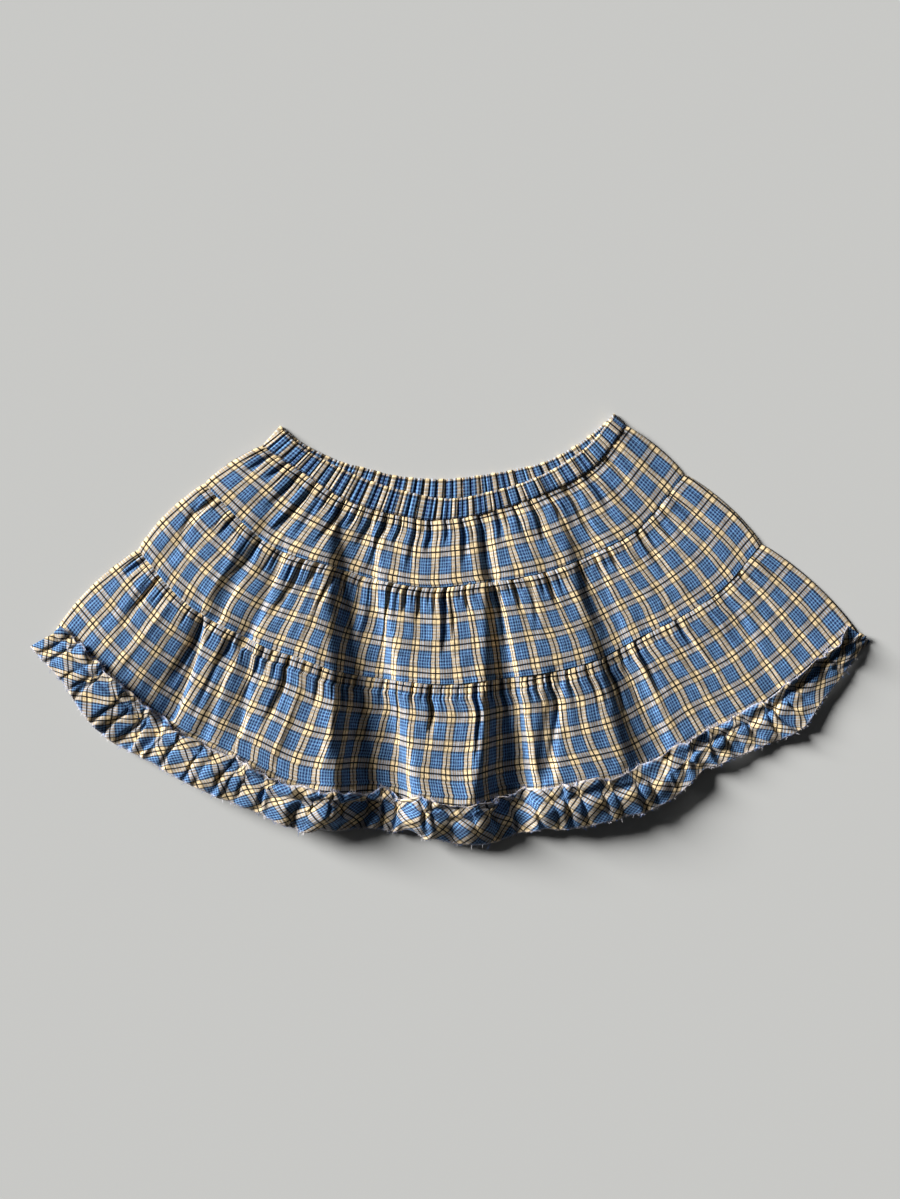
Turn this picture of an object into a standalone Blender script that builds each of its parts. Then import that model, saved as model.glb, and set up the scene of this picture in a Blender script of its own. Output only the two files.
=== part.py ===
"""Tiered mini skirt with an elastic waist and a gathered bias ruffle, laid flat with its front up.

The back panels lie flat on the surface. The front panels lie over them, and swell into soft folds
and gathers. Sizes in the tables are millimetres; the model itself is in metres, with +Z up. The
origin is on the surface that the skirt lies on, below the middle of its box.
"""
import bmesh
import bpy
import numpy as np

MM = 0.001

# Driving dimensions (mm)
CLOTH = 1.2               # wall of one layer of cloth
CASING = 3.0              # folded cloth round the elastic
SEAM_GAP = 0.3            # clearance between two pieces
BACK_RISE = 18.0          # how much higher the back lies than the front, at the middle
HEADER = 14.0             # ruffle cloth above its stitch line
HEADER_LOW = 6.0          # how much the header is lower over the middle fold
STEEP_REACH = 9.0         # the ruffle spans this far over the tier's steep sides
RUFFLE_LIFT = 1.1         # clearance of the ruffle over the tier that carries it
SEAM_DIP = 1.6            # how far a seam is drawn in below the cloth beside it
STEEPEST = 4              # most that a trough's side steepens here, to suit the columns of points
BULGE_ROUND = 8           # how near the side a tier's bulge begins: higher is nearer

# Lines across the front, left to right: x, y (mm)
WAIST = [(-161, 189), (-136, 168.5), (-87, 144), (-39, 129.5), (-6, 124), (22, 127),
         (79, 143), (127, 171.5), (154, 202)]
CASING_LINE = [(-180, 174), (-144, 151), (-96, 121), (-39, 106), (-11, 104), (27, 109),
               (84, 127), (132, 152), (166, 193)]
SEAM_1 = [(-234, 138), (-194, 98), (-163, 75), (-120, 62), (-77, 49), (-25, 40), (27, 44),
          (65, 49), (103, 59), (141, 75), (179, 97), (221, 147)]
SEAM_2 = [(-297, 75.5), (-248, 23), (-182, -13), (-144, -26), (-101, -41), (-49, -48),
          (-1, -51), (46, -46), (98, -39), (141, -27), (179, -7), (217, 12), (257, 38.5), (294, 81)]
HEM = [(-377, -4), (-337, -45), (-282, -93), (-239, -116), (-201, -134), (-147, -158),
       (-77, -162), (-11, -171.5), (18, -173), (65, -165), (113, -157), (168, -147),
       (208, -131), (244, -107), (295, -81), (331, -53), (386, -4)]
EDGE = [(-399.5, -16), (-369, -47), (-349, -77), (-322, -105), (-284, -124), (-239, -149),
        (-184, -172), (-139, -191), (-87, -188), (-37, -194), (8, -202), (32, -203), (63, -193),
        (103, -188), (146, -181), (198, -165), (241, -134), (288, -113), (331, -95), (355, -62),
        (399.5, -12)]
BACK_WAIST = [(-163, 192.4), (-139, 175), (-108, 160), (-77, 151.5), (-49, 145), (-11, 142),
              (22, 145), (65, 152.5), (94, 161), (120, 175), (141, 191), (155, 204)]

# Height of the front above the back at each line, along the middle and at the sides (mm)
CREST = {"casing": 4.2, "seam_1": 12.5, "seam_2": 21.0, "hem": 27.0}
# Share of the crest's height that is left, from the left side (-1) to the right side (1)
CREST_LEFT = [(-1.0, 0.0), (-0.9, 0.36), (-0.65, 0.62), (-0.35, 0.92), (0.0, 1.0), (0.28, 0.9),
              (0.45, 0.5), (0.6, 0.2), (0.8, 0.11), (1.0, 0.0)]
SIDE_LIFT = {"casing": 3.4, "seam_1": 0.0, "seam_2": 0.0, "hem": 0.0}
SIDE_BULGE = {"tier_1": 4.0, "tier_2": 6.0, "tier_3": 7.0}

# Long troughs of the front. Each runs down along a curve through three points:
# x0, y0, x1, y1, x2, y2, half width on its left and right at the start, the same at the end,
# depth at the start and end (mm), and how steep its left and right sides are: 2 is a round side,
# and a higher one is steeper, over a flatter bottom. A depth under 0 is a ridge.
TROUGHS = [
    (-92, 118, -87, 28, -68, -154, 14, 13, 30, 30, 5.0, 26.0, 4, 6),
    (39, 44, 51, -57, 57, -154, 6, 5, 25, 20, 3.0, 25.0, 3, 6),
    (113, 141, 139, 38, 194, -114, 7, 6, 23, 15, 5.0, 16.0, 3, 6),
    (251, 36, 284, -14, 310, -62, 12, 6, 18, 6, 9.0, 22.0, 1.4, 3),
    (188, 98, 221, 64, 257, 39, 8, 6, 12, 8, 3.0, 5.0, 3, 5),
    (-143, 142, -184, 84, -222, 12, 5, 5, 9, 6, 2.5, 5.0, 2, 4),
    (-210, -14, -220, -56, -236, -104, 5, 4, 10, 6, 2.0, 5.0, 2, 4),
    (-188, -10, -193, -50, -200, -95, 10, 4, 16, 5, 4.0, 9.0, 1.3, 3),
    (-236, 8, -245, -32, -264, -80, 9, 3, 34, 5, 10.0, 26.0, 1.2, 3),
    (-291, 58, -322, 21, -350, -10, 7, 6, 10, 8, 3.0, 5.0, 3, 5),
    (-243, 115, -256, 89, -269, 70, 8, 7, 11, 8, 4.0, 6.0, 3, 5),
    (-160, 72, -176, 30, -196, -14, 12, 4, 17, 4, 5.0, 10.0, 1.3, 3),
    (30, 109, 34, 80, 38, 50, 7, 5, 8, 6, 2.5, 4.5, 3, 5),
    (100, -43, 94, -86, 89, -134, 9, 6, 11, 8, 2.5, 5.0, 3, 5),
    (-96, 20, -104, -60, -114, -158, 8, 8, 12, 10, 0.0, -4.0, 2, 2),
    (34, 30, 31, -60, 20, -156, 5, 5, 11, 9, 0.0, -4.5, 2, 2),
    (104, 120, 120, 30, 163, -122, 5, 5, 11, 9, 0.0, -4.0, 2, 2),
    (-262, 12, -288, -26, -318, -62, 8, 8, 12, 10, 0.0, -2.5, 2, 2),
]

# Gathers below each seam of the front: x at the seam, depth, reach down the tier (mm)
WAIST_GATHERS = [
    (-168, 1.8, 30), (-155, 2.0, 22), (-141, 1.8, 40), (-127, 2.2, 60), (-113, 1.6, 20),
    (-100, 2.0, 45), (-86, 1.8, 24), (-72, 2.2, 34), (-60, 2.4, 66), (-46, 1.8, 28),
    (-33, 1.6, 50), (-20, 2.0, 30), (-5, 1.6, 22), (10, 2.0, 44), (27, 1.8, 60),
    (43, 2.0, 26), (59, 1.6, 30), (75, 2.2, 40), (92, 1.8, 24), (108, 2.4, 62),
    (126, 2.0, 36), (145, 1.8, 28)]
SEAM_1_GATHERS = [
    (-222, 2.2, 34), (-204, 1.6, 22), (-180, 2.2, 40), (-139, 2.4, 56), (-126, 2.2, 24),
    (-101, 1.4, 20), (-82, 2.2, 48), (-51, 2.4, 66), (-37, 2.0, 26), (-25, 1.8, 30),
    (-3, 2.4, 60), (15, 1.6, 24), (43, 2.4, 60), (61, 1.8, 28), (91, 2.0, 34),
    (122, 2.0, 30), (149, 1.8, 26), (176, 2.2, 44), (192, 2.0, 28), (206, 1.8, 36)]
SEAM_2_GATHERS = [
    (-289, 2.0, 30), (-275, 2.2, 54), (-234, 2.6, 70), (-204, 1.8, 30), (-174, 2.2, 48),
    (-151, 2.2, 64), (-123, 1.8, 30), (-101, 1.8, 34), (-89, 2.0, 22), (-63, 1.8, 40),
    (-44, 2.2, 56), (-28, 1.4, 20), (-13, 2.4, 40), (27, 2.4, 66), (41, 1.8, 24),
    (54, 2.0, 34), (68, 1.8, 60), (89, 1.8, 26), (101, 2.2, 50), (117, 1.8, 28),
    (134, 1.6, 36), (153, 2.2, 48), (166, 1.8, 22), (180, 2.0, 60), (217, 1.8, 34),
    (257, 2.2, 52), (273, 2.0, 26), (286, 1.8, 34)]

GATHER_HALF_WIDTH = 2.6   # from the bottom of a gather to its shoulder (mm)
GATHER_RISE = 7.0         # below the seam, a gather is deepest here (mm)
GATHER_END = 22.0         # below the seam, the short gathers have gone here (mm)
ROW_STEP = 32.0           # furthest apart of the rows of points below that (mm)
COLUMN_STEP = 12.0        # widest plain stretch between two columns of points (mm)
WAIST_RIBS = 34           # gathers along the elastic casing, front and back
RIB_DEPTH = 1.3           # (mm)
RUFFLE_WAVES = 38
BACK_RUFFLE_WAVES = 18
UNEVEN = 0.3              # how far a wave strays from an even spacing, as a share of it

# Height of a ruffle wave at its header, stitch line, middle and raw edge (mm), and the share of
# the hem's own height that is left at the middle and the raw edge
WAVE_HEIGHT = {"header": 3.4, "stitch": 0.5, "middle": 3.0, "edge": 4.2}
HEM_LEFT = {"middle": 0.76, "edge": 0.34}
SIDES_HOLD = 1.0          # how much less of it is lost at the two sides
HOLD_SPREAD = 0.6         # under 1, it is less lost near the middle too
SCALLOP = 1.6             # in-and-out of the raw edge with each wave (mm)

CHECK_BLUE = (0.155, 0.235, 0.36, 1.0)
RUFFLE_BLUE = (0.17, 0.24, 0.35, 1.0)
COTTON_ROUGHNESS = 0.9


# Lines and positions ---------------------------------------------------------------------------

def smooth_line(points, steps=14):
    """Points along a Catmull-Rom curve through a table of points."""
    knots = np.array(points, float)
    ends = 2 * knots[[0, -1]] - knots[[1, -2]]
    knots = np.vstack([ends[:1], knots, ends[1:]])
    t = np.linspace(0, 1, steps, endpoint=False)[:, None]
    spans = []
    for a, b, c, d in zip(knots, knots[1:], knots[2:], knots[3:]):
        spans.append(b + 0.5 * t * (c - a + t * (2 * a - 5 * b + 4 * c - d
                                                 + t * (3 * (b - c) + d - a))))
    return np.vstack(spans + [knots[-2:-1]])


def length_along(line):
    steps = np.linalg.norm(np.diff(line, axis=0), axis=1)
    return np.concatenate([[0], np.cumsum(steps)])


def at_share(line, share):
    """Points at given shares of a line's length, 0 at its left end and 1 at its right end."""
    along = length_along(line)
    return np.stack([np.interp(share * along[-1], along, line[:, i]) for i in (0, 1)], axis=-1)


def share_at_x(line, x):
    along = length_along(line)
    return np.interp(x, line[:, 0], along / along[-1])


def across(share):
    """-1 at the left side, 0 in the middle, 1 at the right side."""
    return 2 * share - 1


def raised_back(line):
    """The line of the back that lies under a line of the front."""
    share = np.linspace(0, 1, 61)
    points = at_share(line, share)
    points[:, 1] += BACK_RISE * (1 - across(share) ** 2) ** 1.2
    return points


FRONT = {"waist": smooth_line(WAIST), "casing": smooth_line(CASING_LINE),
         "seam_1": smooth_line(SEAM_1), "seam_2": smooth_line(SEAM_2),
         "hem": smooth_line(HEM), "edge": smooth_line(EDGE)}
BACK = {name: raised_back(line) for name, line in FRONT.items()}
BACK["waist"] = smooth_line(BACK_WAIST)
SIDES_SHAPE = smooth_line(CREST_LEFT)

TIERS = {"tier_1": ("casing", "seam_1", WAIST_GATHERS),
         "tier_2": ("seam_1", "seam_2", SEAM_1_GATHERS),
         "tier_3": ("seam_2", "hem", SEAM_2_GATHERS)}


def between(upper, lower, share, down, bulge=0.0):
    """Points between two lines, down from 0 to 1, where the sides swell out by the bulge."""
    top = at_share(upper, share)
    bottom = at_share(lower, share)
    points = top + (bottom - top) * down[..., None]
    ends = at_share(lower, np.array([0.0, 0.04, 0.96, 1.0])) + at_share(
        upper, np.array([0.0, 0.04, 0.96, 1.0]))
    left = (ends[0] - ends[1]) / np.linalg.norm(ends[0] - ends[1])
    right = (ends[3] - ends[2]) / np.linalg.norm(ends[3] - ends[2])
    outward = np.where(across(share)[..., None] < 0, left, right)
    swell = bulge * np.sin(np.pi * np.clip(down, 0, 1)) ** 0.7 * np.abs(across(share)) ** BULGE_ROUND
    return points + outward * swell[..., None]


def drop_between(upper, lower, share):
    return np.linalg.norm(at_share(lower, share) - at_share(upper, share), axis=-1)


# Heights ---------------------------------------------------------------------------------------

def trough_path(row, steps=40):
    """Points along the curve through a trough's start, middle and end."""
    start, middle, end = (np.array(row[i:i + 2], float) for i in (0, 2, 4))
    bend = 2 * middle - 0.5 * (start + end)
    t = np.linspace(0, 1, steps)[:, None]
    return start * (1 - t) ** 2 + bend * 2 * t * (1 - t) + end * t ** 2


def trough_depth(points):
    """How far all the long troughs lower the cloth at each point."""
    total = np.zeros(points.shape[:-1])
    for row in TROUGHS:
        path = trough_path(row)
        heading = np.gradient(path, axis=0)
        offset = points[..., None, :] - path
        apart = np.linalg.norm(offset, axis=-1)
        nearest = apart.argmin(axis=-1)
        along = nearest / (len(path) - 1)
        offset = np.take_along_axis(offset, nearest[..., None, None], axis=-2)[..., 0, :]
        heading = heading[nearest]
        on_right = heading[..., 0] * offset[..., 1] - heading[..., 1] * offset[..., 0] > 0
        left = row[6] + (row[8] - row[6]) * along
        right = row[7] + (row[9] - row[7]) * along
        depth = row[10] + (row[11] - row[10]) * along
        half_width = np.where(on_right, right, left)
        steepness = np.minimum(np.where(on_right, row[13], row[12]), STEEPEST)
        total += depth * np.exp(-(apart.min(axis=-1) / half_width) ** steepness)
    return total


def front_level(tier, share, down, points):
    """Height of the front's underside: its crest, less its troughs, and never below the back."""
    upper, lower, _ = TIERS[tier]
    rounding = np.interp(across(share), SIDES_SHAPE[:, 0], SIDES_SHAPE[:, 1])
    side = SIDE_LIFT[upper] + (SIDE_LIFT[lower] - SIDE_LIFT[upper]) * down
    crest = CREST[upper] + (CREST[lower] - CREST[upper]) * down - side
    fall = drop_between(FRONT[upper], FRONT[lower], share)
    from_seam = np.minimum(down, 1 - down) * fall
    dip = SEAM_DIP * np.exp(-(from_seam / GATHER_RISE) ** 2)
    swell = crest - trough_depth(points) - dip
    swell = 0.5 * (swell + np.sqrt(swell ** 2 + 1.0)) * rounding
    return CLOTH + SEAM_GAP + side + swell


def gather_depth(tier, share, below):
    """Depth of the nearest gather at each point; below is the distance down from the seam."""
    upper, lower, gathers = TIERS[tier]
    line = FRONT[upper]
    total = np.zeros(np.broadcast(share, below).shape)
    for x, depth, reach in gathers:
        apart = np.abs(share - share_at_x(line, x)) * length_along(line)[-1]
        start = np.clip(below / GATHER_RISE, 0, 1)
        fade = np.clip(1 - below / reach, 0, 1)
        total += depth * start * fade * np.clip(1 - apart / GATHER_HALF_WIDTH, 0, 1)
    return total


# Walls -----------------------------------------------------------------------------------------

def outward_normals(under):
    """A wall's outward direction at each point; its rims stay upright across a seam."""
    along = np.gradient(under, axis=1)
    down = np.gradient(under, axis=0)
    normal = np.cross(down, along)
    up = np.array([0.0, 0.0, 1.0])
    for row in (0, -1):
        tangent = along[row] / np.linalg.norm(along[row], axis=-1, keepdims=True)
        normal[row] = up - tangent * (tangent @ up)[:, None]
    normal[:, [0, -1]] = up
    return normal / np.linalg.norm(normal, axis=-1, keepdims=True)


def cloth_material(name, colour):
    material = bpy.data.materials.new(name)
    material.use_nodes = True
    shader = material.node_tree.nodes["Principled BSDF"]
    shader.inputs["Base Color"].default_value = colour
    shader.inputs["Roughness"].default_value = COTTON_ROUGHNESS
    return material


def add_wall(name, under, over, colour, collection):
    """A closed wall, lofted through one flat ring of points for each row of its two faces."""
    rows, columns = under.shape[:2]
    mesh = bpy.data.meshes.new(name)
    shape = bmesh.new()
    rings = []
    for row in range(rows):
        ring = np.vstack([under[row], over[row][::-1]]) * MM
        rings.append([shape.verts.new(point) for point in ring])
    for ring, following in zip(rings, rings[1:]):
        for i in range(len(ring)):
            j = (i + 1) % len(ring)
            shape.faces.new((ring[i], ring[j], following[j], following[i]))
    for ring in (rings[0], rings[-1]):
        for i in range(columns - 1):
            shape.faces.new((ring[i], ring[i + 1], ring[-2 - i], ring[-1 - i]))
    bmesh.ops.recalc_face_normals(shape, faces=shape.faces)
    shape.to_mesh(mesh)
    shape.free()
    mesh.materials.append(cloth_material(name, colour))
    piece = bpy.data.objects.new(name, mesh)
    collection.objects.link(piece)
    mesh.shade_smooth()
    mesh.set_sharp_from_angle(angle=np.radians(40))


def seamed(down, fall):
    """Keeps half a seam gap clear at the first and last of the rows."""
    clear = 0.5 * SEAM_GAP / fall
    return clear + down * (1 - 2 * clear)


def gather_columns(tier):
    """Shares across a tier: each gather's bottom and two shoulders, and plain columns between."""
    upper, lower, gathers = TIERS[tier]
    line = FRONT[upper]
    shoulder = GATHER_HALF_WIDTH / length_along(line)[-1]
    widest = COLUMN_STEP / length_along(FRONT[lower])[-1]
    fixed = [0.0]
    for x, _, _ in gathers:
        middle = share_at_x(line, x)
        fixed += [middle - shoulder, middle, middle + shoulder]
    fixed.append(1.0)
    columns = []
    for start, end in zip(fixed, fixed[1:]):
        count = max(1, int(np.ceil((end - start) / widest)))
        columns += list(np.linspace(start, end, count, endpoint=False))
    return np.array(columns + [1.0])


def uneven_waves(count, seed):
    """Shares where the waves of a gathered strip begin, unevenly spaced."""
    stray = np.random.default_rng(seed).uniform(-UNEVEN, UNEVEN, count + 1)
    stray[[0, -1]] = 0
    return (np.arange(count + 1) + stray) / count


def wave_columns(count, seed, points_each):
    """Columns across a gathered strip, and how far up its wave each one is, from 0 to 1."""
    starts = uneven_waves(count, seed)
    share = np.interp(np.arange(count * points_each + 1) / points_each, np.arange(count + 1), starts)
    phase = np.arange(count * points_each + 1) / points_each
    return share, 0.5 - 0.5 * np.cos(2 * np.pi * phase)


# Pieces ----------------------------------------------------------------------------------------

def front_tier(tier, collection):
    upper, lower, _ = TIERS[tier]
    share = gather_columns(tier)
    fall = drop_between(FRONT[upper], FRONT[lower], share)
    plain_rows = int(np.ceil((np.median(fall) - GATHER_RISE - GATHER_END) / ROW_STEP)) + 1
    stops = [0 * fall, GATHER_RISE / fall]
    for step in np.linspace(0, 1, plain_rows):
        stops.append((1 - step) * GATHER_END / fall + step * (1 - GATHER_RISE / fall))
    stops.append(0 * fall + 1)
    rows = []
    for stop in stops:
        down = seamed(stop, fall)
        points = between(FRONT[upper], FRONT[lower], share, down, SIDE_BULGE[tier])
        height = front_level(tier, share, down, points)
        floor = CLOTH + SEAM_GAP
        height = np.maximum(height - gather_depth(tier, share, stop * fall), floor)
        rows.append(np.column_stack([points, height]))
    under = np.array(rows)
    add_wall(tier + "_front", under, under + CLOTH * outward_normals(under), CHECK_BLUE, collection)


def back_tier(tier, columns, collection):
    """A plain panel with the tier's own outline, flat on the surface."""
    upper, lower, _ = TIERS[tier]
    share = np.linspace(0, 1, columns)
    fall = drop_between(BACK[upper], BACK[lower], share)
    rows = []
    for stop in (0.0, 0.5, 1.0):
        down = seamed(np.full(columns, stop), fall)
        points = between(BACK[upper], BACK[lower], share, down, SIDE_BULGE[tier])
        rows.append(np.column_stack([points, np.zeros(columns)]))
    under = np.array(rows)
    add_wall(tier + "_back", under, under + [0, 0, CLOTH], CHECK_BLUE, collection)


def casing(name, lines, base, seed, collection):
    """A waistband: an elastic casing with ribs on its upper face over a plain lower face."""
    share, rib = wave_columns(WAIST_RIBS, seed, 3)
    fall = drop_between(lines["waist"], lines["casing"], share)
    under = []
    over = []
    for stop, top in ((0.0, CASING - 1.0), (0.3, CASING), (0.75, CASING), (1.0, CASING - 0.8)):
        down = seamed(np.full(len(share), stop), fall)
        points = between(lines["waist"], lines["casing"], share, down)
        level = np.full(len(share), base)
        under.append(np.column_stack([points, level]))
        over.append(np.column_stack([points, level + top - RIB_DEPTH * (1 - rib)]))
    add_wall(name, np.array(under), np.array(over), CHECK_BLUE, collection)


def header_height(share):
    """How far the ruffle stands above its stitch line; less over the middle fold."""
    return HEADER - HEADER_LOW * np.exp(-((across(share) - 0.02) / 0.06) ** 2)


def last_tier_top(share, above_hem):
    """Height of the last tier's upper face, at distances above its hem, where the ruffle lies."""
    columns = gather_columns("tier_3")
    fall = drop_between(FRONT["seam_2"], FRONT["hem"], columns)
    down = 1 - np.interp(columns, share, above_hem) / fall
    points = between(FRONT["seam_2"], FRONT["hem"], columns, down, SIDE_BULGE["tier_3"])
    level = front_level("tier_3", columns, down, points)
    beside = STEEP_REACH / length_along(FRONT["hem"])[-1]
    return CLOTH + np.max([np.interp(share + step, columns, level) for step in (-beside, 0, beside)],
                          axis=0)


def front_ruffle(collection):
    """The bias strip: its header lies on the last tier, and its frill runs on past the hem."""
    share, wave = wave_columns(RUFFLE_WAVES, 3, 4)
    hem_fall = drop_between(FRONT["seam_2"], FRONT["hem"], share)
    frill = drop_between(FRONT["hem"], FRONT["edge"], share)
    rows = []
    for part_of_header, key in ((1.0, "header"), (0.5, "stitch"), (0.0, "stitch")):
        above_hem = part_of_header * header_height(share)
        down = 1 - above_hem / hem_fall
        points = between(FRONT["seam_2"], FRONT["hem"], share, down, SIDE_BULGE["tier_3"])
        height = last_tier_top(share, above_hem) + RUFFLE_LIFT + WAVE_HEIGHT[key] * wave
        rows.append(np.column_stack([points, height]))
    stitched = rows[-1][:, 2]
    floor = CLOTH + SEAM_GAP
    for stop, key in ((0.45, "middle"), (1.0, "edge")):
        down = stop - SCALLOP * stop * wave / frill
        points = between(FRONT["hem"], FRONT["edge"], share, down)
        left = HEM_LEFT[key] + (1 - HEM_LEFT[key]) * SIDES_HOLD * np.abs(across(share)) ** HOLD_SPREAD
        height = floor + (stitched - floor) * left + WAVE_HEIGHT[key] * wave
        rows.append(np.column_stack([points, height]))
    under = np.array(rows)
    over = under + CLOTH * outward_normals(under)
    add_wall("hem_ruffle_front", under, over, RUFFLE_BLUE, collection)


def back_ruffle(collection):
    """The strip's other half, flat under the front, with its scalloped raw edge."""
    share, wave = wave_columns(BACK_RUFFLE_WAVES, 5, 4)
    frill = drop_between(BACK["hem"], BACK["edge"], share)
    rows = []
    for stop in (0.0, 0.5, 1.0):
        down = seamed(np.full(len(share), stop), frill) - stop * (3 + 2 * wave) / frill
        points = between(BACK["hem"], BACK["edge"], share, down)
        rows.append(np.column_stack([points, np.zeros(len(share))]))
    under = np.array(rows)
    add_wall("hem_ruffle_back", under, under + [0, 0, CLOTH], RUFFLE_BLUE, collection)


def clear_scene():
    for thing in list(bpy.data.objects):
        bpy.data.objects.remove(thing, do_unlink=True)


def main():
    clear_scene()
    collection = bpy.data.collections.new("tiered_ruffle_hem_mini_skirt")
    bpy.context.scene.collection.children.link(collection)
    casing("waistband_back", BACK, 0.0, 1, collection)
    casing("waistband_front", FRONT, CASING + SEAM_GAP, 2, collection)
    for tier, columns in (("tier_1", 46), ("tier_2", 46), ("tier_3", 46)):
        back_tier(tier, columns, collection)
        front_tier(tier, collection)
    back_ruffle(collection)
    front_ruffle(collection)


main()
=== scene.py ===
"""Looks of the tiered mini skirt: gathered cloth shells over the solids, a bias ruffle with raw
edges, sewing, frayed threads, a pale floor, soft light and the camera above it.

The tables and the lines are those of the solids, in millimetres. Meshes are made in metres.
"""

import bpy
import numpy as np
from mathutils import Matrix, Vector


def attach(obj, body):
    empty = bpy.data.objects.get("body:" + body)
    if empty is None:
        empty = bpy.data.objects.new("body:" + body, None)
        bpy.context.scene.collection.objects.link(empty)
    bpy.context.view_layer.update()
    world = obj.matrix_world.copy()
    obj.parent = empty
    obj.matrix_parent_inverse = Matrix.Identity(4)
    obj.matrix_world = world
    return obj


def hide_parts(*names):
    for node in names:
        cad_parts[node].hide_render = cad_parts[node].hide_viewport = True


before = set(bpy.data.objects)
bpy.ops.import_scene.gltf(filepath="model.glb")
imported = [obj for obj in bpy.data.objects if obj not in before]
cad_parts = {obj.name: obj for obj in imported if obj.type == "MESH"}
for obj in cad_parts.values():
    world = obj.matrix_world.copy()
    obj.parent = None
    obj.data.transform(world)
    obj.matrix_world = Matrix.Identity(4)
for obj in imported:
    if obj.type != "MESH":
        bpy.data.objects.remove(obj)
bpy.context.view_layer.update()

MM = 0.001

# Sizes shared with the solids (mm)
CLOTH = 1.2  # wall of the solids
CASING = 3.0  # folded cloth round the elastic
SEAM_GAP = 0.3
BACK_RISE = 18.0  # how much higher the back lies than the front, at the middle
HEADER = 14.0  # ruffle cloth above its stitch line
HEADER_LOW = 6.0  # how much the header is lower over the middle fold
HEM_LEFT = {"middle": 0.76, "edge": 0.34}  # share of the hem's height left down the frill
SIDES_HOLD = 1.0  # how much less of it is lost at the two sides
HOLD_SPREAD = 0.6  # under 1, it is less lost near the middle too
BULGE_ROUND = 8

# Lines across the front, left to right: x, y (mm)
WAIST = [(-161, 189), (-136, 168.5), (-87, 144), (-39, 129.5), (-6, 124), (22, 127),
         (79, 143), (127, 171.5), (154, 202)]
CASING_LINE = [(-180, 174), (-144, 151), (-96, 121), (-39, 106), (-11, 104), (27, 109),
               (84, 127), (132, 152), (166, 193)]
SEAM_1 = [(-234, 138), (-194, 98), (-163, 75), (-120, 62), (-77, 49), (-25, 40), (27, 44),
          (65, 49), (103, 59), (141, 75), (179, 97), (221, 147)]
SEAM_2 = [(-297, 75.5), (-248, 23), (-182, -13), (-144, -26), (-101, -41), (-49, -48),
          (-1, -51), (46, -46), (98, -39), (141, -27), (179, -7), (217, 12), (257, 38.5), (294, 81)]
HEM = [(-377, -4), (-337, -45), (-282, -93), (-239, -116), (-201, -134), (-147, -158),
       (-77, -162), (-11, -171.5), (18, -173), (65, -165), (113, -157), (168, -147),
       (208, -131), (244, -107), (295, -81), (331, -53), (386, -4)]
EDGE = [(-399.5, -16), (-369, -47), (-349, -77), (-322, -105), (-284, -124), (-239, -149),
        (-184, -172), (-139, -191), (-87, -188), (-37, -194), (8, -202), (32, -203), (63, -193),
        (103, -188), (146, -181), (198, -165), (241, -134), (288, -113), (331, -95), (355, -62),
        (399.5, -12)]
BACK_WAIST = [(-163, 192.4), (-139, 175), (-108, 160), (-77, 151.5), (-49, 145), (-11, 142),
              (22, 145), (65, 152.5), (94, 161), (120, 175), (141, 191), (155, 204)]

CREST = {"casing": 4.2, "seam_1": 12.5, "seam_2": 21.0, "hem": 27.0}
# Share of the crest's height that is left, from the left side (-1) to the right side (1)
CREST_LEFT = [(-1.0, 0.0), (-0.9, 0.36), (-0.65, 0.62), (-0.35, 0.92), (0.0, 1.0), (0.28, 0.9),
              (0.45, 0.5), (0.6, 0.2), (0.8, 0.11), (1.0, 0.0)]
SIDE_LIFT = {"casing": 3.4, "seam_1": 0.0, "seam_2": 0.0, "hem": 0.0}
SIDE_BULGE = {"tier_1": 4.0, "tier_2": 6.0, "tier_3": 7.0}

# Long troughs of the front: x0, y0, x1, y1, x2, y2, half width on its left and right at the
# start, the same at the end, depth at the start and end (mm), and how steep its left and right
# sides are: 2 is a round side, and a higher one is steeper, over a flatter bottom. A depth under
# 0 is a ridge.
TROUGHS = [
    (-92, 118, -87, 28, -68, -154, 14, 13, 30, 30, 5.0, 26.0, 4, 6),
    (39, 44, 51, -57, 57, -154, 6, 5, 25, 20, 3.0, 25.0, 3, 6),
    (113, 141, 139, 38, 194, -114, 7, 6, 23, 15, 5.0, 16.0, 3, 6),
    (251, 36, 284, -14, 310, -62, 12, 6, 18, 6, 9.0, 22.0, 1.4, 3),
    (188, 98, 221, 64, 257, 39, 8, 6, 12, 8, 3.0, 5.0, 3, 5),
    (-143, 142, -184, 84, -222, 12, 5, 5, 9, 6, 2.5, 5.0, 2, 4),
    (-210, -14, -220, -56, -236, -104, 5, 4, 10, 6, 2.0, 5.0, 2, 4),
    (-188, -10, -193, -50, -200, -95, 10, 4, 16, 5, 4.0, 9.0, 1.3, 3),
    (-236, 8, -245, -32, -264, -80, 9, 3, 34, 5, 10.0, 26.0, 1.2, 3),
    (-291, 58, -322, 21, -350, -10, 7, 6, 10, 8, 3.0, 5.0, 3, 5),
    (-243, 115, -256, 89, -269, 70, 8, 7, 11, 8, 4.0, 6.0, 3, 5),
    (-160, 72, -176, 30, -196, -14, 12, 4, 17, 4, 5.0, 10.0, 1.3, 3),
    (30, 109, 34, 80, 38, 50, 7, 5, 8, 6, 2.5, 4.5, 3, 5),
    (100, -43, 94, -86, 89, -134, 9, 6, 11, 8, 2.5, 5.0, 3, 5),
    (-96, 20, -104, -60, -114, -158, 8, 8, 12, 10, 0.0, -4.0, 2, 2),
    (34, 30, 31, -60, 20, -156, 5, 5, 11, 9, 0.0, -4.5, 2, 2),
    (104, 120, 120, 30, 163, -122, 5, 5, 11, 9, 0.0, -4.0, 2, 2),
    (-262, 12, -288, -26, -318, -62, 8, 8, 12, 10, 0.0, -2.5, 2, 2),
]

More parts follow.
